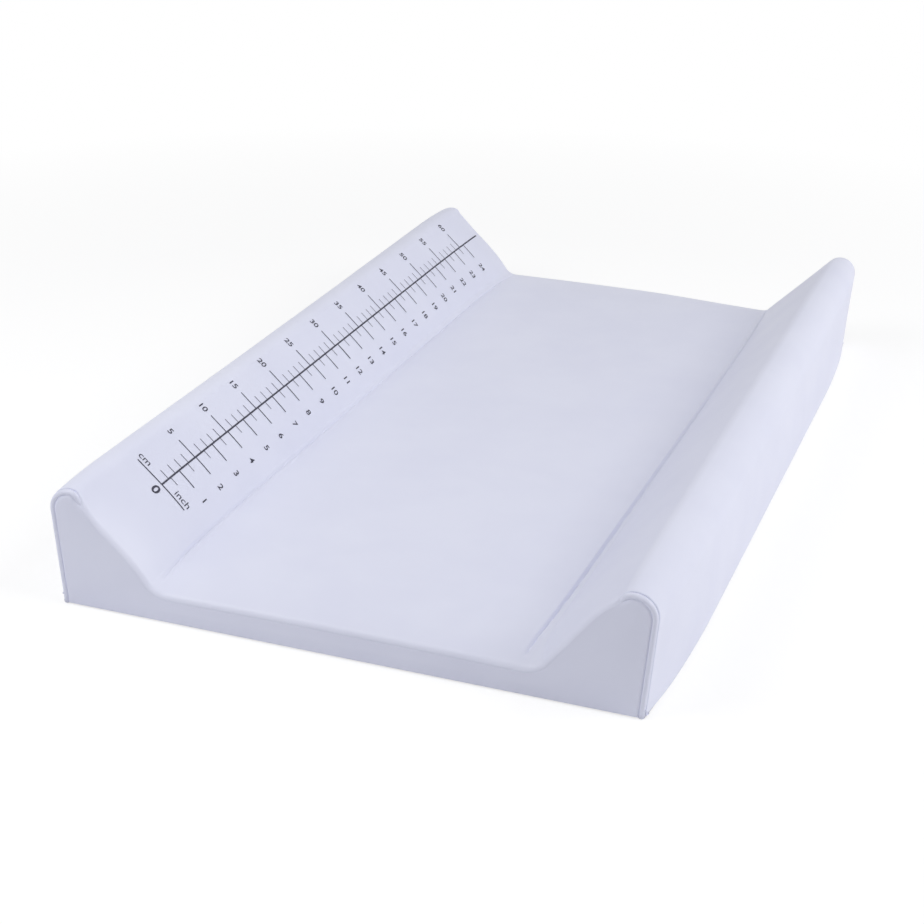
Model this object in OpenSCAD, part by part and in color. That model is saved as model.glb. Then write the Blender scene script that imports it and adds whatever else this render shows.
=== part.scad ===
// Contoured baby changing pad: foam with two raised sides in a sewn vinyl cover.
// Millimetres. X runs across the pad, Y along it and Z up.
// The origin is the middle of the underside.

/* [Overall size] */
// Length from end to end
pad_length = 734; // [500:2:900]
// Width across the base at mid length
pad_width = 424; // [360:2:600]
// Height of the raised sides at mid length
side_height = 86; // [75:0.5:120]
// Height of the floor beside the creases
floor_height = 28; // [24:1:40]

/* [Side profile] */
// Radius of the rounded top of each side
crown_radius = 17; // [14:0.5:22]
// Rise of the inner slope above level, in degrees
slope_angle = 46.5; // [40:0.5:60]
// Bulge of the inner slope over its foam
slope_bulge = 2; // [0:0.5:5]
// Lean of the outer wall towards the middle, in degrees
wall_lean = 1; // [0:0.5:8]
// Radius where the slope runs into the floor
toe_radius = 10; // [8:1:30]
// Width of the crease along the middle of that curve
crease_width = 5; // [3:0.5:8]
// Depth of the crease
crease_depth = 1.2; // [0.4:0.2:3]

/* [Soft form] */
// Rise of the middle of the floor above its edges
floor_crown = 1; // [0:0.5:6]
// Radius with which the cover rolls over the ends of the floor and slopes
end_roll = 4; // [3:0.5:10]
// Depth to which the floor and the foot of the slopes dip at the front end
front_dip = 6.5; // [0:0.5:8]
// Depth to which the floor and the foot of the slopes dip at the rear end
rear_dip = 2.5; // [0:0.5:8]
// Length over which they dip
dip_length = 32; // [15:1:80]
// Depth to which the end seams draw the cover in
end_draw = 2; // [0:0.5:4]
// Length over which the end seams draw the cover in
end_draw_length = 60; // [20:5:150]
// Distance by which the base corners draw in
corner_draw = 7.5; // [0:0.5:12]
// Length over which the base corners draw in
corner_draw_length = 150; // [50:10:240]

/* [Cover] */
// Thickness of the vinyl sheet
cover_t = 1; // [0.6:0.1:1.6]
// Thickness of the underside sheet
base_t = 1; // [0.6:0.1:2]
// Diameter of the welt around the ends of the raised sides
welt_d = 4; // [3:0.5:5]
// Gap beside a sewn edge
seam_gap = 0.3; // [0.2:0.1:0.6]

/* [Foam] */
// Gap between the foam and the cover
fit_gap = 0.3; // [0.2:0.1:0.6]

/* [Hidden] */

vinyl_colour = [0.88, 0.885, 0.94];
underside_colour = [0.80, 0.80, 0.83];
foam_colour = [0.95, 0.92, 0.80];

// Number of steps along each stretch of a section, along half the pad and over an end roll
floor_steps = 2;
toe_steps = 1;
slope_steps = 2;
inner_crown_steps = 3;
outer_crown_steps = 4;
half_stations = 4;
roll_steps = 3;
welt_sides = 8;

half_length = pad_length / 2;
half_width = pad_width / 2;
welt_r = welt_d / 2;
// Depth of the foam under the outside of the cover
foam_depth = cover_t + fit_gap;
// Depth of the edge of the underside sheet under the outside of the cover
base_depth = cover_t + seam_gap;
// Room that a welt takes at a corner
welt_inset = welt_d + seam_gap;
// Least radius to which the crown shrinks inside the rolled ends of the foam
least_crown = 0.5;

// Centre of the crown's arc, on the right side
crown_z = side_height - crown_radius;
wall_foot = crown_radius * cos(wall_lean) + (crown_z + crown_radius * sin(wall_lean)) * tan(wall_lean);
crown_x = half_width - wall_foot;
// Centre of the toe's arc, which touches the slope and the floor
toe_z = floor_height + toe_radius;
arcs_radius = crown_radius + toe_radius;
slope_run = (crown_z + arcs_radius * cos(slope_angle) - toe_z) / tan(slope_angle);
toe_x = crown_x - arcs_radius * sin(slope_angle) - slope_run;
// The crease lies in the middle of the toe's arc
crease_angle = slope_angle / 2;
crease_half_angle = asin(crease_width / 2 / toe_radius);

function reversed(list) = [for (i = [len(list) - 1:-1:0]) list[i]];

function without_first(list) = [for (i = [1:len(list) - 1]) list[i]];

function mirrored(points) = [for (p = points) [-p.x, p.y, p.z]];

// Points of the right half, from the middle to the base, carried over to the left half
function across(points) = concat(reversed(mirrored(points)), without_first(points));

function steps(from, to, count, first = 0) = [for (i = [first:count]) from + (to - from) * i / count];

// Samples of a section, each a stretch and a place on it:
// a share of the floor's half width or of the slope, an angle on the toe or crown, or a height on the wall
FLOOR = 0;
TOE = 1;
CREASE = 2;
SLOPE = 3;
CROWN = 4;
WALL = 5;

floor_samples = [for (share = steps(0, 1, floor_steps)) [FLOOR, share]];
lower_toe = [for (a = steps(0, crease_angle - crease_half_angle, toe_steps, 1)) [TOE, a]];
upper_toe = [for (a = steps(crease_angle + crease_half_angle, slope_angle, toe_steps)) [TOE, a]];
slope_samples = [for (i = [1:slope_steps - 1]) [SLOPE, i / slope_steps]];
inner_crown = [for (a = steps(90 + slope_angle, 90, inner_crown_steps)) [CROWN, a]];
outer_crown = [for (a = steps(90, wall_lean, outer_crown_steps, 1)) [CROWN, a]];
crown = concat(inner_crown, outer_crown);
raised_samples = concat(upper_toe, slope_samples, crown);
wall_samples = [[WALL, floor_height], [WALL, 0]];
cover_samples = concat(floor_samples, lower_toe, [[CREASE, crease_angle]], raised_samples, wall_samples);

function floor_level(depth) = floor_height - depth;

function toe_point(a, depth) = [toe_x, toe_z] + (toe_radius + depth) * [sin(a), -cos(a)];

// Share of the slope's bulge: none at the toe, all a third of the way up, and fading into the crown
function bulge_share(share) = 27 / 4 * share * pow(1 - share, 2);

// A share of the way up the slope, bulged out between the toe and the crown
function slope_point(share, depth) =
    let (
        out = [-sin(slope_angle), cos(slope_angle)],
        foot = toe_point(slope_angle, 0) + slope_run * share * [1, tan(slope_angle)])
    foot + (slope_bulge * bulge_share(share) - depth) * out;

function crown_point(a, depth) =
    [crown_x, crown_z] + max(least_crown, crown_radius - depth) * [cos(a), sin(a)];

function wall_point(z, depth) = [half_width - depth / cos(wall_lean) - z * tan(wall_lean), z];

// Place of a sample in the section, at a depth under the cover's outside
function section_point(sample, depth) =
    let (kind = sample[0], value = sample[1])
    kind == FLOOR ? [toe_x * value, floor_level(depth) + floor_crown * (1 - value * value)]
    : kind == TOE ? toe_point(value, depth)
    : kind == CREASE ? toe_point(value, depth + crease_depth)
    : kind == SLOPE ? slope_point(value, depth)
    : kind == CROWN ? crown_point(value, depth)
    : wall_point(value, depth);

// Share of a draw-in that holds at y, from none inside to all at the ends
function draw_share(y, reach) = pow(max(0, abs(y) - half_length + reach) / reach, 2);

// A section point set in the pad at y, with the base corners drawn in
function placed(p, y) =
    let (draw = corner_draw * draw_share(y, corner_draw_length) * (1 - p.y / side_height))
    [p.x * (1 - draw / half_width), y, p.y];

// Depth added at y by the end seams
function seam_depth(y) = end_draw * draw_share(y, end_draw_length);

// Depth by which the floor dips at y
function dip_depth(y) = (y < 0 ? front_dip : rear_dip) * draw_share(y, dip_length);

// Share of that dip that a sample takes: all on the floor and toe, less up the slope and none on the crown
function dip_share(sample) =
    sample[0] == SLOPE ? 1 - pow(sample[1], 2)
    : sample[0] == CROWN || sample[0] == WALL ? 0
    : 1;

function sample_point(sample, depth, y) =
    placed(section_point(sample, depth + seam_depth(y) + dip_depth(y) * dip_share(sample)), y);

// Half length of the run on which all pieces have the same stations, so that they bend alike
shared_run = half_length - foam_depth - inner_roll(foam_depth) - welt_d;

// Stations along the pad, closer together towards the ends, then where a piece stops being straight and
// over its end roll. Each is a share of the shared run, a share of the straight rest and a roll angle.
shared_stations = [for (i = [-half_stations:half_stations]) [sin(90 * i / half_stations), 0, 0]];
rear_roll = [for (a = steps(0, 90, roll_steps)) [1, 1, a]];
front_roll = [for (s = reversed(rear_roll)) -s];
stations = concat(front_roll, shared_stations, rear_roll);

// Y of a station on a piece that is straight up to a distance from the middle
function station_y(station, straight) = station[0] * shared_run + station[1] * (straight - shared_run);

// Share of the end roll that a sample takes: all on the floor and slope, and none from the crown's
// top outwards, where the cover runs straight to a welt
function roll_share(sample) =
    sample[0] == CROWN ? max(0, sample[1] - 90) / slope_angle
    : sample[0] == WALL ? 0
    : 1;

// Share of its full size that the welt has at a sample, thinning out over the inner half of the crown
function welt_share(sample) = sqrt(1 - roll_share(sample));

// Depth of the cover's sewn end edge
function seam_edge_depth(share) = end_roll * (1 - cos(90 * share));

// Point of the cover, with inset 0 on its outside and its thickness on its inside
function cover_point(sample, station, inset) =
    let (
        share = roll_share(sample),
        turn = station[2] * share,
        radius = end_roll - inset,
        straight = half_length - welt_inset * welt_share(sample) - end_roll * sin(90 * share),
        y = station_y(station, straight) + radius * sin(turn))
    sample_point(sample, inset + radius * (1 - cos(turn)), y);

// Radius of the rolled ends of an inner piece, inside the cover's roll and clear of the welts
function inner_roll(depth) =
    let (welt_reach = welt_r + (welt_r + seam_gap) * sqrt(0.5))
    max(end_roll, (welt_reach - depth * sqrt(0.5)) / (1 - sqrt(0.5))) - depth;

// Y and depth of an inner piece at a station
function inner_station(station, depth) =
    let (radius = inner_roll(depth), turn = station[2])
    [
        station_y(station, half_length - depth - radius) + radius * sin(turn),
        depth + radius * (1 - cos(turn))
    ];

// Closed rings, clockwise seen from the front

function cover_ring(station) =
    concat(
        across([for (s = cover_samples) cover_point(s, station, 0)]),
        reversed(across([for (s = cover_samples) cover_point(s, station, cover_t)])));

// The slab's top is level beside the floor, and gives way where the crease reaches below that
function slab_ring(station) =
    let (
        inner = inner_station(station, foam_depth),
        y = inner[0],
        wall_depth = inner[1] + seam_depth(y),
        depth = wall_depth + dip_depth(y),
        level = floor_level(depth),
        crease = toe_point(crease_angle, depth + crease_depth),
        side = [
            [toe_point(crease_angle - crease_half_angle, depth).x, level],
            [crease.x, min(level, crease.y)],
            [toe_point(crease_angle + crease_half_angle, depth).x, level],
            wall_point(level, wall_depth),
            wall_point(base_t, wall_depth)
        ])
    across(concat(
        [for (s = floor_samples) placed(section_point(s, depth), y)],
        [for (p = side) placed(p, y)]));

// A wedge starts behind the crease and stands on the slab's level top
function wedge_ring(station) =
    let (
        inner = inner_station(station, foam_depth),
        y = inner[0],
        wall_depth = inner[1] + seam_depth(y),
        dip = dip_depth(y),
        level = floor_level(wall_depth + dip),
        top = [for (s = raised_samples) section_point(s, wall_depth + dip * dip_share(s))])
    [for (p = concat([[top[0].x, level]], top, [wall_point(level, wall_depth)])) placed(p, y)];

// Faces that close a ring: one polygon, or for a sheet a strip from its outside to its inside
function cap(count, sheet) =
    sheet
        ? [for (j = [0:count / 2 - 2]) [j, j + 1, count - 2 - j, count - 1 - j]]
        : [[for (j = [0:count - 1]) j]];

// Closed solid through rings of equal length. Where rings span both sides of the pad, their left half is
// split into triangles as a mirror image of the right, and so is a sheet's inside, so that it fits the foam.
module skin(rings, sheet = false, both_sides = false) {
    count = len(rings[0]);
    last = len(rings) - 1;
    run = sheet ? count / 2 : count;
    sides = [
        for (i = [0:last - 1])
            for (j = [0:count - 1])
                let (
                    a = i * count + j,
                    b = i * count + (j + 1) % count,
                    mirror_image = both_sides && j % run < (run - 1) / 2)
                each mirror_image
                    ? [[a, a + count, b + count], [a, b + count, b]]
                    : [[a, a + count, b], [b, a + count, b + count]]
    ];
    first_cap = cap(count, sheet);
    last_cap = [for (face = first_cap) [for (j = reversed(face)) last * count + j]];
    polyhedron([for (ring = rings) each ring], concat(sides, first_cap, last_cap));
}

module base_panel() {
    edge = [for (s = stations) inner_station(s, base_depth)];
    right = [for (e = edge) sample_point([WALL, 0], e[1], e[0])];
    outline = concat(right, reversed(mirrored(right)));
    color(underside_colour)
        linear_extrude(base_t)
            polygon([for (p = outline) [p.x, p.y]]);
}

module foam_slab() {
    color(foam_colour)
        skin([for (s = stations) slab_ring(s)], both_sides = true);
}

module foam_wedge_right() {
    color(foam_colour)
        skin([for (s = stations) wedge_ring(s)]);
}

module foam_wedge_left() {
    mirror([1, 0, 0])
        foam_wedge_right();
}

module top_cover() {
    color(vinyl_colour)
        skin([for (s = stations) cover_ring(s)], sheet = true, both_sides = true);
}

// Panel that closes an end, with the end as 1 for the rear and -1 for the front
module end_panel(end) {
    edge = [
        for (s = cover_samples)
            let (welt = welt_share(s))
            sample_point(
                s,
                seam_edge_depth(roll_share(s)) + welt_inset * welt + seam_gap * (1 - welt),
                end * half_length)
    ];
    color(vinyl_colour)
        translate([0, end > 0 ? half_length : cover_t - half_length, 0])
            rotate([90, 0, 0])
                linear_extrude(cover_t)
                    polygon([for (p = across(edge)) [p.x, p.z]]);
}

module end_panel_rear() {
    end_panel(1);
}

module end_panel_front() {
    end_panel(-1);
}

// Bead around the right outer edge of an end panel, cut level at the base and thinning out where the
// cover begins to roll
module welt_right(end) {
    run = concat([[WALL, 0]], [for (s = reversed(crown)) if (roll_share(s) < 1) s]);
    size = [for (s = run) welt_r * welt_share(s)];
    last = len(run) - 1;
    path = [
        for (k = [0:last])
            sample_point(run[k], seam_edge_depth(roll_share(run[k])) + size[k], end * (half_length - size[k]))
    ];
    color(vinyl_colour)
        skin([
            for (k = [0:last])
                let (
                    along = path[min(k + 1, last)] - path[max(k - 1, 0)],
                    out = [along.z, 0, -along.x] / norm([along.x, along.z]))
                [
                    for (j = [0:welt_sides - 1])
                        let (
                            a = 360 * j / welt_sides,
                            p = path[k] + size[k] * (cos(a) * out + sin(a) * [0, 1, 0]))
                        [p.x, p.y, k == 0 ? 0 : p.z]
                ]
        ]);
}

module welt_rear_right() {
    welt_right(1);
}

module welt_rear_left() {
    mirror([1, 0, 0])
        welt_rear_right();
}

module welt_front_right() {
    welt_right(-1);
}

module welt_front_left() {
    mirror([1, 0, 0])
        welt_front_right();
}

base_panel();
foam_slab();
foam_wedge_left();
foam_wedge_right();
top_cover();
end_panel_front();
end_panel_rear();
welt_front_left();
welt_front_right();
welt_rear_left();
welt_rear_right();
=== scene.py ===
"""A contoured baby changing pad in a sewn white vinyl cover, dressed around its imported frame.

Lengths are in metres. X runs across the pad, Y along it and Z up, with the origin under its middle.
"""

import math

import bmesh
import bpy
import numpy as np
from mathutils import Matrix, Vector, noise


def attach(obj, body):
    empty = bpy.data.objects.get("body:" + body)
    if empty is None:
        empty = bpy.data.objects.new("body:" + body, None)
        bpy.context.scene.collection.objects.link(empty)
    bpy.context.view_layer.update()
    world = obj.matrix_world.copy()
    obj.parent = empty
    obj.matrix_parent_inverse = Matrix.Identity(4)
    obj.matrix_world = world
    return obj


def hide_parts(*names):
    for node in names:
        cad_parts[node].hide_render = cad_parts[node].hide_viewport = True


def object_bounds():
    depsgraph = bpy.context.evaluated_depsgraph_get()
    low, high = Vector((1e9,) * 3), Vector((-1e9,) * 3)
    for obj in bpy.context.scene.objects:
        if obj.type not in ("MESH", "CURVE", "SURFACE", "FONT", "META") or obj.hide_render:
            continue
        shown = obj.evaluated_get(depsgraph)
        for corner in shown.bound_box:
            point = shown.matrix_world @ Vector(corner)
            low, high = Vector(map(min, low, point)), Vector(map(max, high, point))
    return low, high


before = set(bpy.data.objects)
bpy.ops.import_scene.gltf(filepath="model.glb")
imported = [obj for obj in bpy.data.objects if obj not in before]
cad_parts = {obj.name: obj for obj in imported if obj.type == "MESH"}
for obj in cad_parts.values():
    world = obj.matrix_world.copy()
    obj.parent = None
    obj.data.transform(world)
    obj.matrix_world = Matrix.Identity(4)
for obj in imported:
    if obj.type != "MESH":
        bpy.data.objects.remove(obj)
cad_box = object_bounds()

MM = 0.001

# Overall size, from the frame
HALF_WIDTH = cad_box[1].x
HALF_LENGTH = cad_box[1].y
SIDE_HEIGHT = cad_box[1].z

# Section across the pad
FLOOR_HEIGHT = 28 * MM
FLOOR_CROWN = 1 * MM
CROWN_RADIUS = 17 * MM
SHOULDER_RADIUS = 11 * MM
OUTER_RADIUS = 19 * MM
SLOPE = math.radians(46.5)
SLOPE_BULGE = 2 * MM
WALL_LEAN = math.radians(1)
TOE_RADIUS = 10 * MM
BASE_TURN = 1.5 * MM

# Soft form along the pad: rolled ends, floor and slopes that dip there, and seams that draw the cover in.
# Dips and the roll fade out between two shares of the way up a slope. The right slope's bulge fades out
# towards the rear, between two places along the pad.
END_ROLL = 3 * MM
FRONT_DIP = 6.5 * MM
REAR_DIP = 2.5 * MM
REAR_DIP_RIGHT = 5.5 * MM
DIP_LENGTH = 32 * MM
DIP_FADE_LEFT = (0.62, 1.19)
DIP_FADE_FRONT_RIGHT = (0.19, 0.81)
DIP_FADE_REAR_RIGHT = (0.5, 1.45)
FLAT_SLOPE = (-50 * MM, 350 * MM)
ROLL_FADE = (0.82, 1.1)
END_DRAW = 2 * MM
END_DRAW_LENGTH = 60 * MM
CORNER_DRAW_LEFT = 10 * MM
CORNER_DRAW_RIGHT = 7.5 * MM
CORNER_DRAW_LENGTH = 150 * MM

# Crease where each slope meets the floor: slightly askew, bent inwards near the ends, where it runs out
CREASE_HALF_WIDTH = 2.2 * MM
CREASE_SHARPNESS = 1.5
CREASE_DEPTH_LEFT = 1.3 * MM
CREASE_DEPTH_RIGHT = 2 * MM
CREASE_SKEW_LEFT = 2.5 * MM
CREASE_SKEW_RIGHT = -4.3 * MM
CREASE_BEND = 2 * MM
CREASE_BEND_LENGTH = 75 * MM
CREASE_OUT = (7 * MM, 16 * MM)

# Cover and beads. A bead sinks into the cover where the roll begins, and ends at a share of the roll.
SHEET_T = 1 * MM
SEAM_GAP = 0.3 * MM
SHARP_ANGLE = math.radians(50)
EDGE_TURN = 0.9 * MM
EDGE_CURL = 1.2 * MM
END_ZONE = 12 * MM
WELT_RADIUS = 2 * MM
WELT_SINK = 1.6 * MM
WELT_END = 0.9

# Foam, with room for the creases above it, and the underside sheet with its edge turned up
FOAM_DEPTH = SHEET_T + SEAM_GAP
FOAM_ROLL = 8 * MM
FOAM_GAP = 0.3 * MM
CREASE_ROOM = 1.4 * MM
CREASE_ROOM_REACH = (9 * MM, 18 * MM)
BASE_RISE = 0.1 * MM
BASE_EDGE_RISE = 0.5 * MM
BASE_EDGE_REACH = 1.5 * MM

# Swelling of the cover over its foam, by a simulation on a coarse grid, and its unevenness
SWELL_CAP = 1.5 * MM
SWELL_PRESSURE = 1.2
SWELL_FRAMES = 20
SWELL_QUALITY = 6
SWELL_CELL = 10 * MM
SWELL_FADE = 25 * MM
CLOTH_MASS = 0.3
CLOTH_STIFFNESS = 40
CLOTH_BENDING = 6
UNEVEN = 0.16 * MM
UNEVEN_LENGTH = 70 * MM

# End panels: puffed out, and tucked in under the beads and along the floor's seam
PANEL_SHARE_FRONT = 0.35
PANEL_SHARE_REAR = 0.38
PANEL_PUFF = 0.9 * MM
PANEL_PUFF_REACH = 12 * MM
PANEL_TUCK = 2.2 * MM
PANEL_TURN = 2.8 * MM
SEAM_TUCK = 0.35 * MM
SEAM_TURN = 1.6 * MM
SEAM_FADE = (0, 0.35)

# Section geometry that follows from the sizes above
CROWN_Z = SIDE_HEIGHT - CROWN_RADIUS
CROWN_X = HALF_WIDTH - CROWN_RADIUS / math.cos(WALL_LEAN) - CROWN_Z * math.tan(WALL_LEAN)
TOE_Z = FLOOR_HEIGHT + TOE_RADIUS
ARCS_RADIUS = CROWN_RADIUS + TOE_RADIUS
SLOPE_RUN = (CROWN_Z + ARCS_RADIUS * math.cos(SLOPE) - TOE_Z) / math.tan(SLOPE)
TOE_X = CROWN_X - ARCS_RADIUS * math.sin(SLOPE) - SLOPE_RUN
CREASE_ARC = TOE_X + TOE_RADIUS * SLOPE / 2
SLOPE_ARC = TOE_X + TOE_RADIUS * SLOPE

# Two arcs that replace the crown's one: tighter at the slope's top and wider towards the wall
SLOPE_OUT = np.array([-math.sin(SLOPE), math.cos(SLOPE)])
SLOPE_UP = np.array([math.cos(SLOPE), math.sin(SLOPE)])
OUTER_Z = SIDE_HEIGHT - OUTER_RADIUS
OUTER_X = HALF_WIDTH - OUTER_RADIUS / math.cos(WALL_LEAN) - OUTER_Z * math.tan(WALL_LEAN)
OUTER_SHIFT = np.array([OUTER_X - CROWN_X, OUTER_Z - CROWN_Z])
SHOULDER_OVER = OUTER_SHIFT @ SLOPE_OUT + OUTER_RADIUS - CROWN_RADIUS
SHOULDER_TURN = math.acos(1 - SHOULDER_OVER / (OUTER_RADIUS - SHOULDER_RADIUS))
SHOULDER_END = math.pi / 2 + SLOPE - SHOULDER_TURN
SHOULDER_SHIFT = OUTER_SHIFT + (OUTER_RADIUS - SHOULDER_RADIUS) * np.array(
    [math.cos(SHOULDER_END), math.sin(SHOULDER_END)])
SLOPE_LENGTH = SLOPE_RUN / math.cos(SLOPE) + SHOULDER_SHIFT @ SLOPE_UP


def smooth_step(low, high, value):
    """0 below low, 1 above high and a smooth rise between them."""
    t = np.clip((value - low) / (high - low), 0, 1)
    return t * t * (3 - 2 * t)


def eased(share):
    """Shares from 0 to 1, drawn closer together towards both ends."""
    return (1 - np.cos(np.pi * share)) / 2


# The section


def up_slope(arc):
    """Share of the way up a slope, at a distance from the middle of the floor along the section."""
    return (np.abs(arc) - SLOPE_ARC) / SLOPE_LENGTH


def slope_bulge(rise):
    """Bulge of a slope at a share of the way up it, with its full height at a third."""
    third = 1 / 3
    return SLOPE_BULGE * rise * (1 - rise) ** 2 / (third * (1 - third) ** 2)


class Section:
    """Samples of the right half of the section, from the middle of the floor to the base."""

    def __init__(self, floor, toe, slope, crown, wall, base):
        """Takes the number of steps along each stretch."""
        share = 1 - np.linspace(1, 0, floor, endpoint=False) ** 2
        toe_a = np.linspace(0, SLOPE, toe, endpoint=False)
        slope_l = SLOPE_LENGTH * eased(np.linspace(0, 1, slope, endpoint=False))
        crown_a = np.linspace(math.pi / 2 + SLOPE, WALL_LEAN, crown, endpoint=False)
        on_shoulder = (crown_a > SHOULDER_END)[:, None]
        crown_middle = [CROWN_X, CROWN_Z] + np.where(on_shoulder, SHOULDER_SHIFT, OUTER_SHIFT)
        crown_radius = np.where(on_shoulder, SHOULDER_RADIUS, OUTER_RADIUS)
        crown_out = np.stack([np.cos(crown_a), np.sin(crown_a)], 1)
        wall_top = OUTER_Z + OUTER_RADIUS * math.sin(WALL_LEAN)
        wall_z = np.linspace(wall_top, BASE_TURN, wall, endpoint=False)
        base_a = np.linspace(WALL_LEAN, -math.pi / 2, base)
        bulge = slope_bulge(slope_l / SLOPE_LENGTH)
        slope_start = np.array([TOE_X, TOE_Z]) - TOE_RADIUS * SLOPE_OUT

        points = [
            np.stack([TOE_X * share, FLOOR_HEIGHT + FLOOR_CROWN * (1 - share ** 2)], 1),
            np.stack([TOE_X + TOE_RADIUS * np.sin(toe_a), TOE_Z - TOE_RADIUS * np.cos(toe_a)], 1),
            slope_start + slope_l[:, None] * SLOPE_UP + bulge[:, None] * SLOPE_OUT,
            crown_middle + crown_radius * crown_out,
            np.stack([HALF_WIDTH - wall_z * math.tan(WALL_LEAN), wall_z], 1),
            np.stack([HALF_WIDTH - BASE_TURN + BASE_TURN * np.cos(base_a),
                      BASE_TURN + BASE_TURN * np.sin(base_a)], 1),
        ]
        upright = np.array([math.cos(WALL_LEAN), math.sin(WALL_LEAN)])
        normals = [
            np.tile([0.0, 1.0], (floor, 1)),
            np.stack([-np.sin(toe_a), np.cos(toe_a)], 1),
            np.tile(SLOPE_OUT, (slope, 1)),
            crown_out,
            np.tile(upright, (wall, 1)),
            np.stack([np.cos(base_a), np.sin(base_a)], 1),
        ]
        self.point = np.concatenate(points)
        self.normal = np.concatenate(normals)
        steps = np.linalg.norm(np.diff(self.point, axis=0), axis=1)
        self.arc = np.concatenate([[0], np.cumsum(steps)])
        self.roll = 1 - smooth_step(*ROLL_FADE, up_slope(self.arc))
        self.crown_end = floor + toe + slope + crown

    def both_sides(self, values, flip=False):
        """Values of the right half carried over to the left, from the left base to the right base."""
        left = values[:0:-1]
        return np.concatenate([-left if flip else left, values])


def draw_share(y, reach):
    """Share of a draw-in that holds at y, from none inside to all at the ends."""
    return (np.maximum(0, np.abs(y) - HALF_LENGTH + reach) / reach) ** 2


def end_depth(y, arc):
    """Depth under the plain section: the ends' draw-in and dips, and the right slope's lost bulge."""
    up = up_slope(arc)
    front = y < 0
    fade_front = smooth_step(*DIP_FADE_FRONT_RIGHT, up)
    fade_rear = smooth_step(*DIP_FADE_REAR_RIGHT, up)
    kept = 1 - np.where(arc < 0, smooth_step(*DIP_FADE_LEFT, up), np.where(front, fade_front, fade_rear))
    rear_dip = REAR_DIP + (REAR_DIP_RIGHT - REAR_DIP) * smooth_step(0, SLOPE_ARC, arc)
    dip = np.where(front, FRONT_DIP, rear_dip) * draw_share(y, DIP_LENGTH)
    flat = slope_bulge(np.clip(up, 0, 1)) * np.where(arc > 0, smooth_step(*FLAT_SLOPE, y), 0)
    return END_DRAW * draw_share(y, END_DRAW_LENGTH) + dip * kept + flat


def set_in_pad(x, z, y):
    """Section points at y, with the base corners drawn in, as an array of places."""
    corner = np.where(x < 0, CORNER_DRAW_LEFT, CORNER_DRAW_RIGHT)
    draw = corner * draw_share(y, CORNER_DRAW_LENGTH) * (1 - z / SIDE_HEIGHT)
    return np.stack(np.broadcast_arrays(x * (1 - draw / HALF_WIDTH), y, z), -1)


def end_path(roll):
    """Inset and depth of the cover's end for each roll share: over a roll, or under a bead."""
    lead = 5
    level = np.zeros(lead)
    curl = np.radians([35, 80])
    turn = np.radians(np.linspace(0, 90, 11))
    rolled_inset = np.concatenate([
        np.linspace(END_ZONE, END_ROLL, lead + 1)[:-1],
        END_ROLL * (1 - np.sin(turn)),
        EDGE_CURL * (1 - np.cos(curl))])
    rolled_depth = np.concatenate([
        level,
        END_ROLL * (1 - np.cos(turn)),
        END_ROLL + EDGE_CURL * np.sin(curl)])
    groove = 2 * WELT_RADIUS
    edge = np.radians(np.linspace(0, 90, 7))
    under = np.radians([20, 45, 70, 90])
    sunk_inset = np.concatenate([
        np.linspace(END_ZONE, groove + EDGE_TURN, lead + 1)[:-1],
        groove + EDGE_TURN * (1 - np.sin(edge)),
        WELT_RADIUS * (1 + np.cos(under)),
        np.full(len(curl), WELT_RADIUS)])
    sunk_depth = np.concatenate([
        level,
        EDGE_TURN * (1 - np.cos(edge)),
        SEAM_GAP + WELT_RADIUS * (1 + np.sin(under)),
        SEAM_GAP + groove + EDGE_CURL * np.sin(curl) / 2])
    inset = np.outer(rolled_inset, roll) + np.outer(sunk_inset, 1 - roll)
    depth = np.outer(rolled_depth, roll) + np.outer(sunk_depth, 1 - roll)
    return inset, depth


# Meshes, and the simulated swelling


def grid_faces(rows, columns):
    """Quads of a grid of vertices, numbered row by row."""
    first = (np.arange(rows - 1)[:, None] * columns + np.arange(columns - 1)).ravel()
    return np.stack([first, first + 1, first + columns + 1, first + columns], 1)


def new_mesh(name, points, faces):
    """A smooth-shaded mesh object from places and faces."""
    mesh = bpy.data.meshes.new(name)
    mesh.from_pydata(np.asarray(points).reshape(-1, 3).tolist(), [], [list(map(int, f)) for f in faces])
    mesh.shade_smooth()
    obj = bpy.data.objects.new(name, mesh)
    bpy.context.scene.collection.objects.link(obj)
    return obj


def simulated_lift(points, normals, pinned):
    """Distance that each point of a grid of cloth rises along its normal under pressure from inside."""
    rows, columns = pinned.shape
    cloth = new_mesh("swelling", points, grid_faces(rows, columns))
    group = cloth.vertex_groups.new(name="pinned")
    group.add(np.flatnonzero(pinned.ravel()).tolist(), 1.0, "REPLACE")
    modifier = cloth.modifiers.new("Cloth", "CLOTH")
    settings = modifier.settings
    settings.vertex_group_mass = "pinned"
    settings.quality = SWELL_QUALITY
    settings.mass = CLOTH_MASS
    settings.tension_stiffness = CLOTH_STIFFNESS
    settings.compression_stiffness = CLOTH_STIFFNESS
    settings.bending_stiffness = CLOTH_BENDING
    settings.use_pressure = True
    settings.uniform_pressure_force = SWELL_PRESSURE
    settings.effector_weights.gravity = 0
    modifier.collision_settings.use_collision = False
    modifier.point_cache.frame_end = SWELL_FRAMES
    scene = bpy.context.scene
    for step in range(1, SWELL_FRAMES + 1):
        scene.frame_set(step)
    evaluated = cloth.evaluated_get(bpy.context.evaluated_depsgraph_get())
    moved = np.zeros(rows * columns * 3, np.float32)
    evaluated.data.vertices.foreach_get("co", moved)
    scene.frame_set(1)
    mesh = cloth.data
    bpy.data.objects.remove(cloth)
    bpy.data.meshes.remove(mesh)
    lift = ((moved.reshape(rows, columns, 3) - points) * normals).sum(-1)
    return SWELL_CAP * np.tanh(lift / SWELL_CAP)


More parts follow.
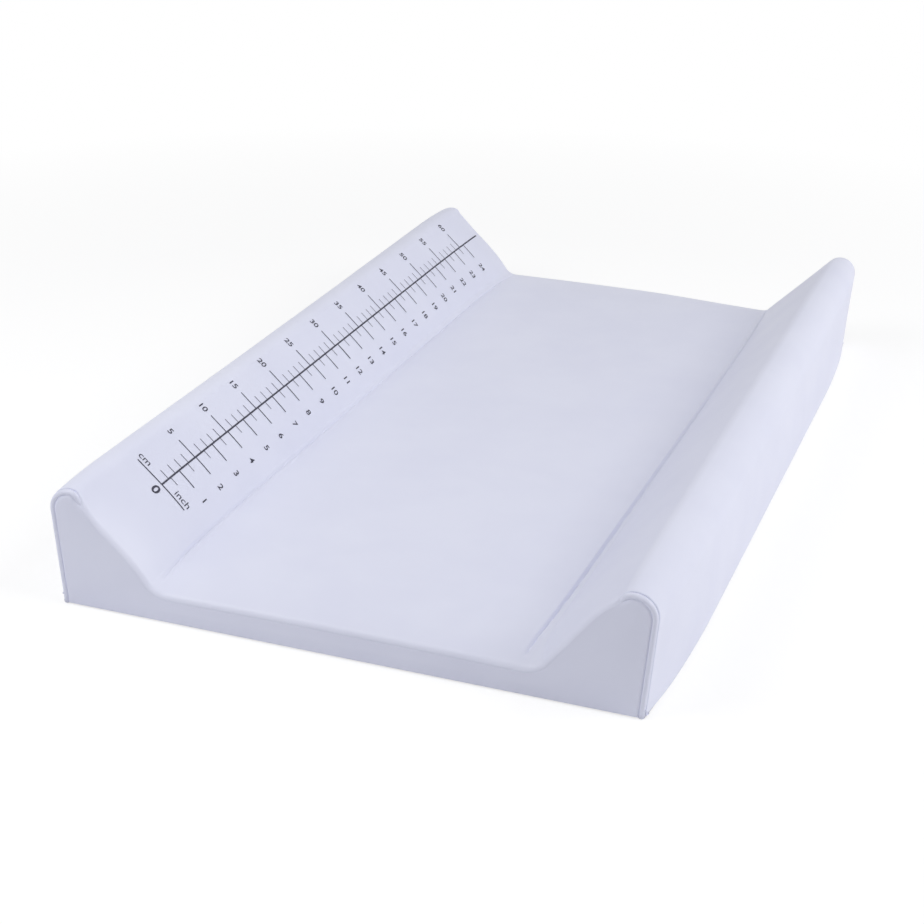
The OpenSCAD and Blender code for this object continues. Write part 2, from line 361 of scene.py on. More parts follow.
def spline_weights(places, knots):
    """Weights of evenly spaced knots in a cubic B-spline at places."""
    t = (places - knots[0]) / (knots[1] - knots[0])
    cell = np.clip(np.floor(t).astype(int), 0, len(knots) - 2)
    f = t - cell
    basis = [(1 - f) ** 3, 3 * f ** 3 - 6 * f ** 2 + 4, -3 * f ** 3 + 3 * f ** 2 + 3 * f + 1, f ** 3]
    weights = np.zeros((len(places), len(knots)))
    for k, value in enumerate(basis):
        column = np.clip(cell + k - 1, 0, len(knots) - 1)
        np.add.at(weights, (np.arange(len(places)), column), value / 6)
    return weights


def cover_swelling(arc, y):
    """Lift of the cover at each y and arc position, from a cloth simulation on a coarse grid."""
    half = Section(floor=40, toe=6, slope=20, crown=14, wall=24, base=4)
    reach = half.arc[-1]
    columns = np.linspace(-reach, reach, 2 * round(reach / SWELL_CELL) + 1)
    span = HALF_LENGTH - END_ZONE
    rows = np.linspace(-span, span, 2 * round(span / SWELL_CELL) + 1)
    all_arc = half.both_sides(half.arc, flip=True)
    x, z, nx, nz = (
        np.interp(columns, all_arc, half.both_sides(v, flip=flip))
        for v, flip in ((half.point[:, 0], True), (half.point[:, 1], False),
                        (half.normal[:, 0], True), (half.normal[:, 1], False)))
    depth = end_depth(rows[:, None], columns)
    points = set_in_pad(x - depth * nx, z - depth * nz, rows[:, None])
    normals = np.stack(np.broadcast_arrays(nx, 0.0, nz), -1)
    pinned = np.zeros((len(rows), len(columns)), bool)
    pinned[[0, -1], :] = True
    pinned[:, [0, -1]] = True
    for side in (-1, 1):
        pinned[:, np.argmin(np.abs(columns - side * CREASE_ARC))] = True
    lift = simulated_lift(points, normals, pinned)
    return spline_weights(y, rows) @ lift @ spline_weights(arc, columns).T


# Pieces


class Cover:
    """The top cover as a fine grid of places: rows along the pad and columns across it."""

    def __init__(self):
        half = Section(floor=36, toe=20, slope=30, crown=30, wall=12, base=5)
        self.half = half
        self.arc = half.both_sides(half.arc, flip=True)
        self.roll = half.both_sides(half.roll)
        self.x = half.both_sides(half.point[:, 0], flip=True)
        self.z = half.both_sides(half.point[:, 1])
        self.nx = half.both_sides(half.normal[:, 0], flip=True)
        self.nz = half.both_sides(half.normal[:, 1])
        inset, depth = end_path(self.roll)
        inside = HALF_LENGTH - END_DRAW_LENGTH
        close = np.linspace(inside, HALF_LENGTH - END_ZONE, 19)[1:-1]
        straight = np.concatenate([-close[::-1], np.linspace(-inside, inside, 77), close])
        middle = np.tile(straight[:, None], (1, len(self.arc)))
        self.y = np.concatenate([(inset - HALF_LENGTH)[::-1], middle, HALF_LENGTH - inset])
        self.depth = np.concatenate([depth[::-1], np.zeros_like(middle), depth])
        self.place = self.placed(self.shape_depth())

    def shape_depth(self):
        """Depth of every grid point under the plain section."""
        rows = self.y.mean(axis=1)
        lift = cover_swelling(self.arc, rows)
        from_end = HALF_LENGTH - np.abs(self.y)
        calm = smooth_step(0, SWELL_FADE, from_end) * smooth_step(0, SWELL_FADE, self.z)
        swell = calm * (lift + self.unevenness())
        return self.depth + end_depth(self.y, self.arc) + self.crease() - swell

    def crease(self):
        """Depth of the creases."""
        from_end = HALF_LENGTH - np.abs(self.y)
        bend = CREASE_BEND * np.maximum(0, 1 - from_end / CREASE_BEND_LENGTH) ** 2
        skew = np.where(self.arc < 0, CREASE_SKEW_LEFT, CREASE_SKEW_RIGHT) * -self.y / HALF_LENGTH
        off = np.abs(np.abs(self.arc) - (CREASE_ARC + skew - bend)) / CREASE_HALF_WIDTH
        groove = np.maximum(0, 1 - off) ** CREASE_SHARPNESS
        deep = np.where(self.arc < 0, CREASE_DEPTH_LEFT, CREASE_DEPTH_RIGHT)
        return deep * groove * smooth_step(*CREASE_OUT, from_end)

    def unevenness(self):
        """Slight waves in the sheet."""
        rows = self.y.mean(axis=1)
        waves = [[noise.noise(Vector((a, y, 0)) / UNEVEN_LENGTH) for a in self.arc] for y in rows]
        return UNEVEN * np.array(waves)

    def placed(self, depth):
        """Places of the grid at a depth under the plain section."""
        return set_in_pad(self.x - depth * self.nx, self.z - depth * self.nz, self.y)

    def piece(self):
        """The cover's outside as a mesh."""
        rows, columns = self.y.shape
        return new_mesh("cover", self.place, grid_faces(rows, columns))

    def at(self, arc, y, rise):
        """Places on the cover at arc positions and y, raised above its outside."""
        rows = self.y[:, len(self.arc) // 2]
        i = np.clip(np.searchsorted(self.arc, arc) - 1, 0, len(self.arc) - 2)
        j = np.clip(np.searchsorted(rows, y) - 1, 0, len(rows) - 2)
        u = ((arc - self.arc[i]) / (self.arc[i + 1] - self.arc[i]))[:, None]
        v = ((y - rows[j]) / (rows[j + 1] - rows[j]))[:, None]
        p = self.place
        before = p[j, i] * (1 - u) + p[j, i + 1] * u
        after = p[j + 1, i] * (1 - u) + p[j + 1, i + 1] * u
        out_x = np.interp(arc, self.arc, self.nx)
        out_z = np.interp(arc, self.arc, self.nz)
        out = np.stack([out_x, np.zeros_like(arc), out_z], 1)
        return before * (1 - v) + after * v + rise * out


def thicken(obj, thickness):
    """Gives a sheet its thickness, inwards from its outside, with sharp cut edges that end at the base."""
    modifier = obj.modifiers.new("Thickness", "SOLIDIFY")
    modifier.thickness = thickness
    modifier.offset = -1
    evaluated = obj.evaluated_get(bpy.context.evaluated_depsgraph_get())
    thin = obj.data
    obj.data = bpy.data.meshes.new_from_object(evaluated)
    obj.data.set_sharp_from_angle(angle=SHARP_ANGLE)
    for vertex in obj.data.vertices:
        vertex.co.z = max(0, vertex.co.z)
    obj.modifiers.clear()
    bpy.data.meshes.remove(thin)
    return obj


def distances(points, line):
    """Distance from each point to each point of a line."""
    return np.sqrt(((points[:, None, :] - line[None, :, :]) ** 2).sum(-1))


def base_inset(z):
    """Inset of the rounded edge along the base at a height."""
    return BASE_TURN * (1 - np.sqrt(1 - np.clip(1 - z / BASE_TURN, 0, 1) ** 2))


def panel_half(side_x, y_end):
    """Half of an end panel, flat: its edge from the middle of the floor to the base, and a grid inside it.

    Between the two come shares along the edge: of the groove under a bead, and of the floor's seam."""
    wall = 90
    half = Section(floor=60, toe=14, slope=30, crown=44, wall=wall, base=5)
    beaded = 1 - half.roll
    depth = END_ROLL + (WELT_RADIUS - END_ROLL) * beaded ** 2 + end_depth(y_end, side_x * half.arc)
    section = (half.point - depth[:, None] * half.normal) * [side_x, 1]
    edge = set_in_pad(section[:, 0], section[:, 1], y_end)[:, [0, 2]]
    seam = 1 - smooth_step(*SEAM_FADE, up_slope(half.arc))
    top = edge[:half.crown_end + 1]
    foot = np.stack([top[:, 0] * edge[half.crown_end + wall, 0] / top[-1, 0], np.zeros(len(top))], 1)
    turn = np.radians([0, 25, 45, 65])
    low = BASE_TURN * (1 - np.cos(turn)) / top[:, 1:]
    lowest = BASE_TURN / top[:, 1:]
    share = np.concatenate([low, lowest + (1 - lowest) * eased(np.linspace(0, 1, 31))], axis=1).T
    return edge, beaded, seam, foot + share[:, :, None] * (top - foot)


def end_panel(name, side):
    """The panel that closes one end, flush with the cover's roll. Its edge turns in under the beads."""
    y_end = side * HALF_LENGTH
    halves = [panel_half(side_x, y_end) for side_x in (-1, 1)]
    edge, beaded, seam = (np.concatenate(parts) for parts in list(zip(*halves))[:3])
    left, right = (half[3] for half in halves)
    flat = np.concatenate([left[:, :0:-1], right], axis=1)
    rows, columns = flat.shape[:2]
    points = flat.reshape(-1, 2)
    off = distances(points, edge)
    tuck = PANEL_TUCK * (beaded * (1 - smooth_step(0, PANEL_TURN, off))).max(axis=1)
    groove = SEAM_TUCK * (seam * (1 - smooth_step(0, SEAM_TURN, off))).max(axis=1)
    border = np.minimum(off.min(axis=1), points[:, 1])
    puff = PANEL_PUFF * (1 - np.exp(-(border / PANEL_PUFF_REACH) ** 2))
    y = side * (HALF_LENGTH - np.maximum(tuck, groove) - base_inset(points[:, 1]) + puff)
    faces = grid_faces(rows, columns)
    if side > 0:
        faces = faces[:, ::-1]
    return new_mesh(name, np.stack([points[:, 0], y, points[:, 1]], 1), faces)


def tube(path, radius, sides=16):
    """Rings of a tube round a path of places."""
    along = np.gradient(path, axis=0)
    along /= np.linalg.norm(along, axis=1)[:, None]
    across = np.cross(along, [0.0, 1.0, 0.0])
    across /= np.linalg.norm(across, axis=1)[:, None]
    over = np.cross(along, across)
    angle = (2 * np.pi * np.arange(sides) / sides)[None, :, None]
    return path[:, None] + radius * (np.cos(angle) * across[:, None] + np.sin(angle) * over[:, None])


def loft(name, rings):
    """A closed solid through rings of equal length."""
    count, sides = rings.shape[:2]
    first = np.arange(count - 1)[:, None] * sides
    here = np.arange(sides)
    after = (here + 1) % sides
    corners = [first + here, first + after, first + sides + after, first + sides + here]
    faces = [list(quad) for quad in np.stack(corners, -1).reshape(-1, 4)]
    faces.append(list(here[::-1]))
    faces.append(list((count - 1) * sides + here))
    obj = new_mesh(name, rings, faces)
    work = bmesh.new()
    work.from_mesh(obj.data)
    bmesh.ops.recalc_face_normals(work, faces=work.faces)
    work.to_mesh(obj.data)
    work.free()
    obj.data.shade_smooth()
    return obj


def welt(name, side_x, side_y):
    """The bead up one corner and over the raised side's end, sunk into the cover where the roll begins."""
    base = 5
    half = Section(floor=18, toe=22, slope=80, crown=48, wall=16, base=base)
    keep = np.flatnonzero(half.roll < WELT_END)[-base::-1]
    sink = WELT_SINK * smooth_step(0, WELT_END, half.roll[keep])
    depth = WELT_RADIUS + sink + end_depth(side_y * HALF_LENGTH, side_x * half.arc[keep])
    section = (half.point[keep] - depth[:, None] * half.normal[keep]) * [side_x, 1]
    path = set_in_pad(section[:, 0], section[:, 1], side_y * (HALF_LENGTH - WELT_RADIUS - sink))
    path[0, 2] = 0
    rings = tube(path, WELT_RADIUS)
    rings[0, :, 2] = 0
    return loft(name, rings)


def underside():
    """The flat sheet that closes the base, with its edge turned up into the seam."""
    rows = 121
    columns = 61
    y = np.linspace(-1, 1, rows) * (HALF_LENGTH - FOAM_DEPTH)
    across = np.sin(np.linspace(-1, 1, columns) * np.pi / 2)
    wide = HALF_WIDTH - FOAM_DEPTH
    left, right = (set_in_pad(side * wide, np.zeros(rows), y)[:, 0] for side in (-1, 1))
    x = left[:, None] + (right - left)[:, None] * (1 + across) / 2
    beside = np.minimum(x - left[:, None], right[:, None] - x)
    border = np.minimum(beside, (HALF_LENGTH - FOAM_DEPTH - np.abs(y))[:, None])
    z = BASE_RISE + BASE_EDGE_RISE * np.exp(-border / BASE_EDGE_REACH)
    places = np.stack(np.broadcast_arrays(x, y[:, None], z), -1)
    return new_mesh("underside", places, grid_faces(rows, columns)[:, ::-1])


def foam_stations():
    """Y and depth of the foam's sections, rolled over at the ends inside the cover's roll."""
    turn = np.radians(np.linspace(0, 90, 7))
    end = HALF_LENGTH - FOAM_DEPTH - FOAM_ROLL * (1 - np.sin(turn))
    deep = FOAM_DEPTH + FOAM_ROLL * (1 - np.cos(turn))
    close = np.linspace(HALF_LENGTH - END_DRAW_LENGTH, end[0], 9)[1:-1]
    inside = np.linspace(-1, 1, 31) * (HALF_LENGTH - END_DRAW_LENGTH)
    y = np.concatenate([-end[::-1], -close[::-1], inside, close, end])
    depth = np.concatenate([deep[::-1], np.full(len(y) - 2 * len(deep), FOAM_DEPTH), deep])
    return y, depth


def foam_room(y, arc):
    """Depth that the foam leaves at y for the cover's dips and for its creases."""
    beside = np.abs(np.abs(arc) - CREASE_ARC)
    return end_depth(y, arc) + CREASE_ROOM * (1 - smooth_step(*CREASE_ROOM_REACH, beside))


def foam_slab():
    """The foam block under the whole pad."""
    count = 12
    half = Section(floor=count, toe=6, slope=4, crown=6, wall=4, base=3)
    rings = []
    for y, plain in zip(*foam_stations()):
        beside = HALF_WIDTH - plain - END_DRAW * draw_share(y, END_DRAW_LENGTH)
        sides = []
        for side in (-1, 1):
            depth = plain + foam_room(y, side * half.arc[:count])
            level = FLOOR_HEIGHT - depth[-1]
            top = half.point[:count] - depth[:, None] * half.normal[:count]
            edge = np.array([[TOE_X, level], [beside, level], [beside, SHEET_T]])
            sides.append(np.concatenate([top, edge]) * [side, 1])
        ring = np.concatenate([sides[0][:0:-1], sides[1]])
        rings.append(set_in_pad(ring[:, 0], ring[:, 1], y))
    return loft("foam_floor", np.array(rings))


def foam_wedge(name, side):
    """The foam wedge that makes one raised side."""
    floor = 12
    toe_start = 10
    half = Section(floor=floor, toe=16, slope=8, crown=20, wall=6, base=3)
    raised = slice(floor + toe_start, half.crown_end + 1)
    rings = []
    for y, plain in zip(*foam_stations()):
        depth = plain + foam_room(y, side * half.arc[raised])
        level = FLOOR_HEIGHT - depth[0] + FOAM_GAP
        top = half.point[raised] - depth[:, None] * half.normal[raised]
        ring = np.concatenate([[[top[0, 0], level]], top, [[HALF_WIDTH - depth[-1], level]]])
        rings.append(set_in_pad(side * ring[:, 0], ring[:, 1], y))
    return loft(name, np.array(rings))


# Printed scale on the left slope: centimetres towards the crown and inches towards the floor

SCALE_FROM_FRONT = 71.4 * MM
SCALE_UP_SLOPE = 43.3 * MM
SCALE_LENGTH = 650 * MM
CM = 10 * MM
CM_COUNT = 60
CM_LABELLED = 5
INCH = 25.4 * MM
INCH_COUNT = 24
INCHES_PER_FOOT = 12
INK_RISE = 0.16 * MM
AXIS_WIDTH = 1.3 * MM
ZERO_WIDTH = 1.1 * MM
LONG_WIDTH = 1.0 * MM
FOOT_WIDTH = 1.3 * MM
SHORT_WIDTH = 0.6 * MM
ZERO_REACH = (23.5 * MM, -23.2 * MM)
CM_TICK = (16.7 * MM, 8.2 * MM)
INCH_TICK = (-16.0 * MM, -7.2 * MM)
CM_LABEL = 25.2 * MM
INCH_LABEL = -27.6 * MM
LABEL_SIZE = 8.4 * MM
LABEL_BOLD = 0.1 * MM
UNIT_SIZE = 9 * MM
UNIT_FROM_ZERO = 3.2 * MM
CM_UNIT = 20.5 * MM
INCH_UNIT = -17.2 * MM
ZERO_MARK_SIZE = 12 * MM
ZERO_MARK_BEFORE = 9 * MM
ZERO_MARK_BOLD = 0.25 * MM
LETTER_STEPS = 6
TICK_CELL = 2 * MM


class Print:
    """Flat ink shapes, placed up the slope from the scale's axis and along it from the zero line."""

    def __init__(self):
        self.places = []
        self.faces = []

    def add(self, places, faces):
        """Adds a mesh of such places."""
        start = sum(len(p) for p in self.places)
        self.places.append(np.asarray(places, float))
        self.faces += [[start + int(k) for k in face] for face in faces]

    def bar(self, up, along, cell=5 * MM):
        """A filled rectangle between two places up the slope and two along it."""
        rows = max(2, math.ceil(abs(along[1] - along[0]) / cell) + 1)
        columns = max(2, math.ceil(abs(up[1] - up[0]) / cell) + 1)
        down = np.linspace(max(up), min(up), columns)
        v, u = np.meshgrid(np.linspace(*along, rows), down, indexing="ij")
        self.add(np.stack([u.ravel(), v.ravel()], 1), grid_faces(rows, columns))

    def tick(self, along, reach, width):
        """A mark from the axis up or down the slope."""
        self.bar((0, reach), (along - width / 2, along + width / 2), cell=TICK_CELL)

    def text(self, words, up, along, size, bold=0.0, align_y="CENTER"):
        """Letters whose lines run down the slope, with their tops towards the far end."""
        curve = bpy.data.curves.new("letters", "FONT")
        curve.body = words
        curve.size = size
        curve.align_x = "CENTER"
        curve.align_y = align_y
        curve.offset = bold
        curve.resolution_u = LETTER_STEPS
        letters = bpy.data.objects.new("letters", curve)
        bpy.context.scene.collection.objects.link(letters)
        bpy.context.view_layer.update()
        evaluated = letters.evaluated_get(bpy.context.evaluated_depsgraph_get())
        mesh = bpy.data.meshes.new_from_object(evaluated)
        flat = np.array([v.co for v in mesh.vertices])
        if len(flat):
            faces = [list(p.vertices) for p in mesh.polygons]
            self.add(np.stack([up - flat[:, 0], along + flat[:, 1]], 1), faces)
        bpy.data.objects.remove(letters)
        bpy.data.curves.remove(curve)
        bpy.data.meshes.remove(mesh)

    def piece(self, name, cover):
        """The ink laid on the cover's left slope."""
        flat = np.concatenate(self.places)
        arc = -(SLOPE_ARC + SCALE_UP_SLOPE + flat[:, 0])
        y = -HALF_LENGTH + SCALE_FROM_FRONT + flat[:, 1]
        return new_mesh(name, cover.at(arc, y, INK_RISE), self.faces)


def scale_lines(cover):
    """The axis, the zero line and the marks, with a broader one at a foot."""
    marks = Print()
    marks.bar((AXIS_WIDTH / 2, -AXIS_WIDTH / 2), (0, SCALE_LENGTH))
    marks.bar(ZERO_REACH, (-ZERO_WIDTH / 2, ZERO_WIDTH / 2), cell=TICK_CELL)
    for k in range(1, CM_COUNT + 1):
        long_mark = k % CM_LABELLED == 0
        marks.tick(k * CM, CM_TICK[0 if long_mark else 1], LONG_WIDTH if long_mark else SHORT_WIDTH)
    for k in range(1, 2 * INCH_COUNT + 1):
        whole = k % 2 == 0
        width = FOOT_WIDTH if k == 2 * INCHES_PER_FOOT else LONG_WIDTH if whole else SHORT_WIDTH
        marks.tick(k * INCH / 2, INCH_TICK[0 if whole else 1], width)
    return marks.piece("scale_lines", cover)


def scale_numbers(cover):
    """The numbers, the two units and a zero before the zero line."""
    signs = Print()
    for k in range(CM_LABELLED, CM_COUNT + 1, CM_LABELLED):
        signs.text(str(k), CM_LABEL, k * CM, LABEL_SIZE, LABEL_BOLD)
    for k in range(1, INCH_COUNT + 1):
        signs.text(str(k), INCH_LABEL, k * INCH, LABEL_SIZE, LABEL_BOLD)
    for unit, up in (("cm", CM_UNIT), ("inch", INCH_UNIT)):
        signs.text(unit, up, UNIT_FROM_ZERO, UNIT_SIZE, align_y="BOTTOM_BASELINE")
    signs.text("0", 0, -ZERO_MARK_BEFORE, ZERO_MARK_SIZE, ZERO_MARK_BOLD)
    return signs.piece("scale_numbers", cover)


# Materials

TINT_SPAN = (0.35, 0.65)


def material(name, roughness, specular):
    """A new material with its node tree and shader."""
    made = bpy.data.materials.new(name)
    made.use_nodes = True
    tree = made.node_tree
    shader = tree.nodes["Principled BSDF"]
    shader.inputs["Roughness"].default_value = roughness
    shader.inputs["Specular IOR Level"].default_value = specular
    return made, tree, shader


def add_node(tree, kind, **inputs):
    """A node with constants on its sockets."""
    node = tree.nodes.new(kind)
    for key, value in inputs.items():
        node.inputs[key.replace("_", " ")].default_value = value
    return node


def linear(red, green, blue):
    """An opaque colour from 0 to 255 values as a screen shows them."""
    values = [v / 255 for v in (red, green, blue)]
    return [v / 12.92 if v <= 0.04045 else ((v + 0.055) / 1.055) ** 2.4 for v in values] + [1.0]


def tinted(tree, shader, first, second, size):
    """Colours the shader with a slow mix of two tints, in patches of a size."""
    place = tree.nodes.new("ShaderNodeTexCoord")
    patches = add_node(tree, "ShaderNodeTexNoise", Scale=1 / size, Detail=3.0, Roughness=0.55)
    ramp = tree.nodes.new("ShaderNodeValToRGB")
    for element, position, tint in zip(ramp.color_ramp.elements, TINT_SPAN, (first, second)):
        element.position = position
        element.color = tint
    tree.links.new(place.outputs["Object"], patches.inputs["Vector"])
    tree.links.new(patches.outputs["Fac"], ramp.inputs["Fac"])
    tree.links.new(ramp.outputs["Color"], shader.inputs["Base Color"])
    return place


def grained(tree, shader, place, size, depth, strength):
    """Roughens the shader's surface with a grain of a size and depth."""
    grain = add_node(tree, "ShaderNodeTexVoronoi", Scale=1 / size)
    bump = add_node(tree, "ShaderNodeBump", Strength=strength, Distance=depth)
    tree.links.new(place.outputs["Object"], grain.inputs["Vector"])
    tree.links.new(grain.outputs["Distance"], bump.inputs["Height"])
    tree.links.new(bump.outputs["Normal"], shader.inputs["Normal"])


def uneven_gloss(tree, shader, place, size, low, high):
    """Varies the shader's roughness between two values in patches of a size."""
    patches = add_node(tree, "ShaderNodeTexNoise", Scale=1 / size, Detail=4.0)
    span = add_node(tree, "ShaderNodeMapRange", To_Min=low, To_Max=high)
    tree.links.new(place.outputs["Object"], patches.inputs["Vector"])
    tree.links.new(patches.outputs["Fac"], span.inputs["Value"])
    tree.links.new(span.outputs["Result"], shader.inputs["Roughness"])


def vinyl():
    """Cool white satin vinyl with a fine grain."""
    made, tree, shader = material("vinyl", roughness=0.42, specular=0.45)
    place = tinted(tree, shader, linear(223, 225, 242), linear(226, 228, 244), size=60 * MM)
    grained(tree, shader, place, size=0.7 * MM, depth=0.05 * MM, strength=0.12)
    uneven_gloss(tree, shader, place, size=25 * MM, low=0.38, high=0.5)
    return made


def underside_vinyl():
    """Matt vinyl with a coarser emboss."""
    made, tree, shader = material("underside_vinyl", roughness=0.62, specular=0.35)
    place = tinted(tree, shader, linear(206, 206, 214), linear(212, 212, 219), size=40 * MM)
    grained(tree, shader, place, size=1.6 * MM, depth=0.12 * MM, strength=0.3)
    uneven_gloss(tree, shader, place, size=15 * MM, low=0.55, high=0.7)
    return made


def foam():
    """Pale open-cell foam."""
    made, tree, shader = material("foam", roughness=0.9, specular=0.2)
    place = tinted(tree, shader, linear(240, 234, 210), linear(246, 241, 222), size=30 * MM)
    grained(tree, shader, place, size=1.1 * MM, depth=0.3 * MM, strength=0.6)
    return made


def ink():
    """Dark slate printing ink, slightly thin in places."""
    made, tree, shader = material("ink", roughness=0.5, specular=0.3)
    place = tinted(tree, shader, linear(44, 44, 60), linear(58, 58, 76), size=6 * MM)
    grained(tree, shader, place, size=0.5 * MM, depth=0.03 * MM, strength=0.2)
    return made


# Stage, light and camera

# Camera solved from the photograph's edges and the printed scale
PHOTO_SIZE = 924
FOCAL_PX = 1901.2
CENTRE_PX = (480, 462)
SENSOR = 36
CAMERA_PLACE = (0.4248, -1.3511, 0.607)
CAMERA_YAW = math.radians(18.67)
CAMERA_PITCH = math.radians(23.6)
CAMERA_ROLL = math.radians(1.74)
CAMERA_REACH = 50

# White floor, plain further away than a distance. Its shadow is lightened by a glow.
FLOOR_HALF = 6.0
FLOOR_BELOW = 0.8 * MM
FLOOR_FADE = (0.6, 1.1)
FLOOR_BOUNCE = (0.88, 0.88, 0.9, 1)
FLOOR_SHADE = (0.35, 0.35, 0.35, 1)
FLOOR_GLOW = 0.71
WHITE = (1, 1, 1, 1)

# Even light from all round, and the width of a lamp as a share of its distance
WORLD_TINT = (0.96, 0.97, 1, 1)
WORLD_STRENGTH = 0.34
LAMP_SPREAD = 0.58


def add_camera():
    """The photograph's camera."""
    back = Vector((
        math.sin(CAMERA_YAW) * math.cos(CAMERA_PITCH),
        -math.cos(CAMERA_YAW) * math.cos(CAMERA_PITCH),
        math.sin(CAMERA_PITCH)))
    level = Vector((math.cos(CAMERA_YAW), math.sin(CAMERA_YAW), 0))
    up = back.cross(level)
    across = math.cos(CAMERA_ROLL) * level + math.sin(CAMERA_ROLL) * up
    over = math.cos(CAMERA_ROLL) * up - math.sin(CAMERA_ROLL) * level
    data = bpy.data.cameras.new("camera")
    data.sensor_width = SENSOR
    data.lens = FOCAL_PX * SENSOR / PHOTO_SIZE
    data.shift_x = (PHOTO_SIZE / 2 - CENTRE_PX[0]) / PHOTO_SIZE
    data.shift_y = (CENTRE_PX[1] - PHOTO_SIZE / 2) / PHOTO_SIZE
    data.clip_end = CAMERA_REACH
    camera = bpy.data.objects.new("camera", data)
    turn = Matrix((across, over, back)).transposed()
    camera.matrix_world = Matrix.Translation(CAMERA_PLACE) @ turn.to_4x4()
    bpy.context.scene.collection.objects.link(camera)
    bpy.context.scene.camera = camera


def seen_ray(tree):
    """A value that is 1 for rays that show the background: seen directly, mirrored or through a piece."""
    path = tree.nodes.new("ShaderNodeLightPath")
    total = path.outputs["Is Camera Ray"]
    for name in ("Is Glossy Ray", "Is Transmission Ray"):
        both = tree.nodes.new("ShaderNodeMath")
        both.operation = "MAXIMUM"
        tree.links.new(total, both.inputs[0])
        tree.links.new(path.outputs[name], both.inputs[1])
        total = both.outputs[0]
    return total


def add_floor():
    """A white floor that keeps a light shadow of the pad, and is plain white further away."""
    made = bpy.data.materials.new("floor")
    made.use_nodes = True
    tree = made.node_tree
    tree.nodes.clear()
    output = tree.nodes.new("ShaderNodeOutputMaterial")
    plain = add_node(tree, "ShaderNodeBsdfDiffuse", Color=FLOOR_BOUNCE)
    pale = add_node(tree, "ShaderNodeBsdfDiffuse", Color=FLOOR_SHADE)
    glow = add_node(tree, "ShaderNodeEmission", Color=WHITE, Strength=FLOOR_GLOW)
    white = add_node(tree, "ShaderNodeEmission", Color=WHITE, Strength=1.0)
    place = tree.nodes.new("ShaderNodeTexCoord")
    away = tree.nodes.new("ShaderNodeVectorMath")
    away.operation = "LENGTH"
    fade = add_node(tree, "ShaderNodeMapRange", From_Min=FLOOR_FADE[0], From_Max=FLOOR_FADE[1])
    lit = tree.nodes.new("ShaderNodeAddShader")
    shown = tree.nodes.new("ShaderNodeMixShader")
    mix = tree.nodes.new("ShaderNodeMixShader")
    tree.links.new(pale.outputs[0], lit.inputs[0])
    tree.links.new(glow.outputs[0], lit.inputs[1])
    tree.links.new(place.outputs["Object"], away.inputs[0])
    tree.links.new(away.outputs["Value"], fade.inputs["Value"])
    tree.links.new(fade.outputs["Result"], shown.inputs["Fac"])
    tree.links.new(lit.outputs[0], shown.inputs[1])
    tree.links.new(white.outputs[0], shown.inputs[2])
    tree.links.new(seen_ray(tree), mix.inputs["Fac"])
    tree.links.new(plain.outputs[0], mix.inputs[1])
    tree.links.new(shown.outputs[0], mix.inputs[2])
    tree.links.new(mix.outputs[0], output.inputs["Surface"])
    signs = ((-1, -1), (1, -1), (1, 1), (-1, 1))
    corners = [(x * FLOOR_HALF, y * FLOOR_HALF, -FLOOR_BELOW) for x, y in signs]
    floor = new_mesh("floor", corners, [(0, 1, 2, 3)])
    floor.data.materials.append(made)


def add_world():
    """Even studio light from all round, on a white background."""
    world = bpy.data.worlds.new("studio")
    world.use_nodes = True
    bpy.context.scene.world = world
    tree = world.node_tree
    tree.nodes.clear()
    output = tree.nodes.new("ShaderNodeOutputWorld")
    light = add_node(tree, "ShaderNodeBackground", Color=WORLD_TINT, Strength=WORLD_STRENGTH)
    white = add_node(tree, "ShaderNodeBackground", Color=WHITE, Strength=1.0)
    mix = tree.nodes.new("ShaderNodeMixShader")
    tree.links.new(seen_ray(tree), mix.inputs["Fac"])
    tree.links.new(light.outputs[0], mix.inputs[1])
    tree.links.new(white.outputs[0], mix.inputs[2])
    tree.links.new(mix.outputs[0], output.inputs["Surface"])


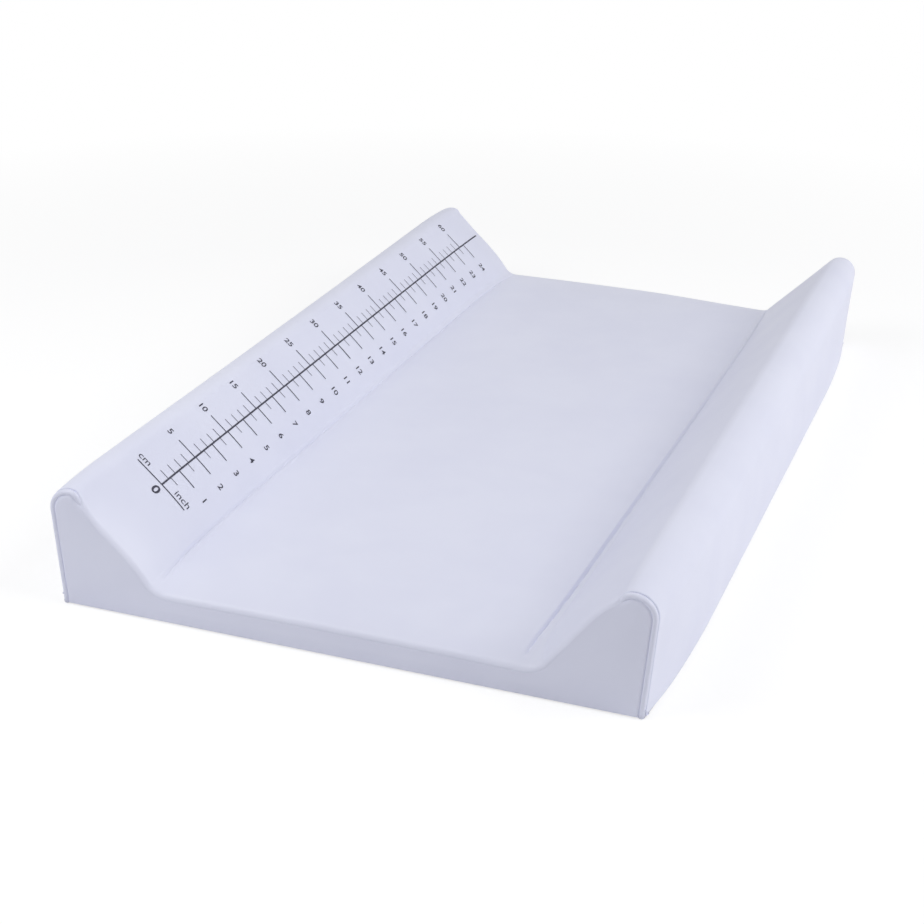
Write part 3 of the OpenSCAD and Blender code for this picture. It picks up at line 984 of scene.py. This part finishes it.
def add_lamp(name, azimuth, elevation, distance, power):
    """A square soft lamp facing the pad, at degrees of azimuth from +X towards +Y and of elevation."""
    turn = math.radians(azimuth)
    lift = math.radians(elevation)
    away = Vector((math.cos(lift) * math.cos(turn), math.cos(lift) * math.sin(turn), math.sin(lift)))
    data = bpy.data.lights.new(name, "AREA")
    data.size = LAMP_SPREAD * distance
    data.energy = power
    lamp = bpy.data.objects.new(name, data)
    lamp.location = distance * away
    lamp.rotation_euler = away.to_track_quat("Z", "Y").to_euler()
    bpy.context.scene.collection.objects.link(lamp)


# The pad


def fit(piece, made, slot, *nodes):
    """Puts a piece on the pad in place of its nodes, with its material. The slot is not used."""
    piece.data.materials.clear()
    piece.data.materials.append(made)
    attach(piece, "root")
    if nodes:
        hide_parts(*nodes)
    return piece


def build_pad():
    """Every piece of the pad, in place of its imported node."""
    white = vinyl()
    base_white = underside_vinyl()
    cream = foam()
    slate = ink()

    slab = fit(foam_slab(), cream, "foam", "foam_slab")
    for word, side in (("left", -1), ("right", 1)):
        wedge = fit(foam_wedge("foam_side_" + word, side), cream, "foam", "foam_wedge_" + word)

    shape = Cover()
    cover = fit(thicken(shape.piece(), SHEET_T), white, "vinyl", "top_cover")
    lines = fit(scale_lines(shape), slate, None)
    numbers = fit(scale_numbers(shape), slate, None)

    for word, side, share in (("front", -1, PANEL_SHARE_FRONT), ("rear", 1, PANEL_SHARE_REAR)):
        panel = fit(thicken(end_panel("end_" + word, side), SHEET_T), white, "vinyl", "end_panel_" + word)
        for hand, side_x in (("left", -1), ("right", 1)):
            bead = welt(f"bead_{word}_{hand}", side_x, side)
            fit(bead, white, "vinyl", f"welt_{word}_{hand}")

    base = fit(thicken(underside(), SHEET_T), base_white, "underside", "base_panel")


bpy.context.scene.view_settings.view_transform = "Standard"
build_pad()
add_floor()
add_world()
add_lamp("key", azimuth=0, elevation=45, distance=2.4, power=20.5)
add_lamp("low", azimuth=0, elevation=20, distance=2.4, power=7.5)
add_lamp("back", azimuth=45, elevation=20, distance=2.4, power=3)
add_lamp("fill", azimuth=225, elevation=45, distance=1.5, power=8)
add_camera()
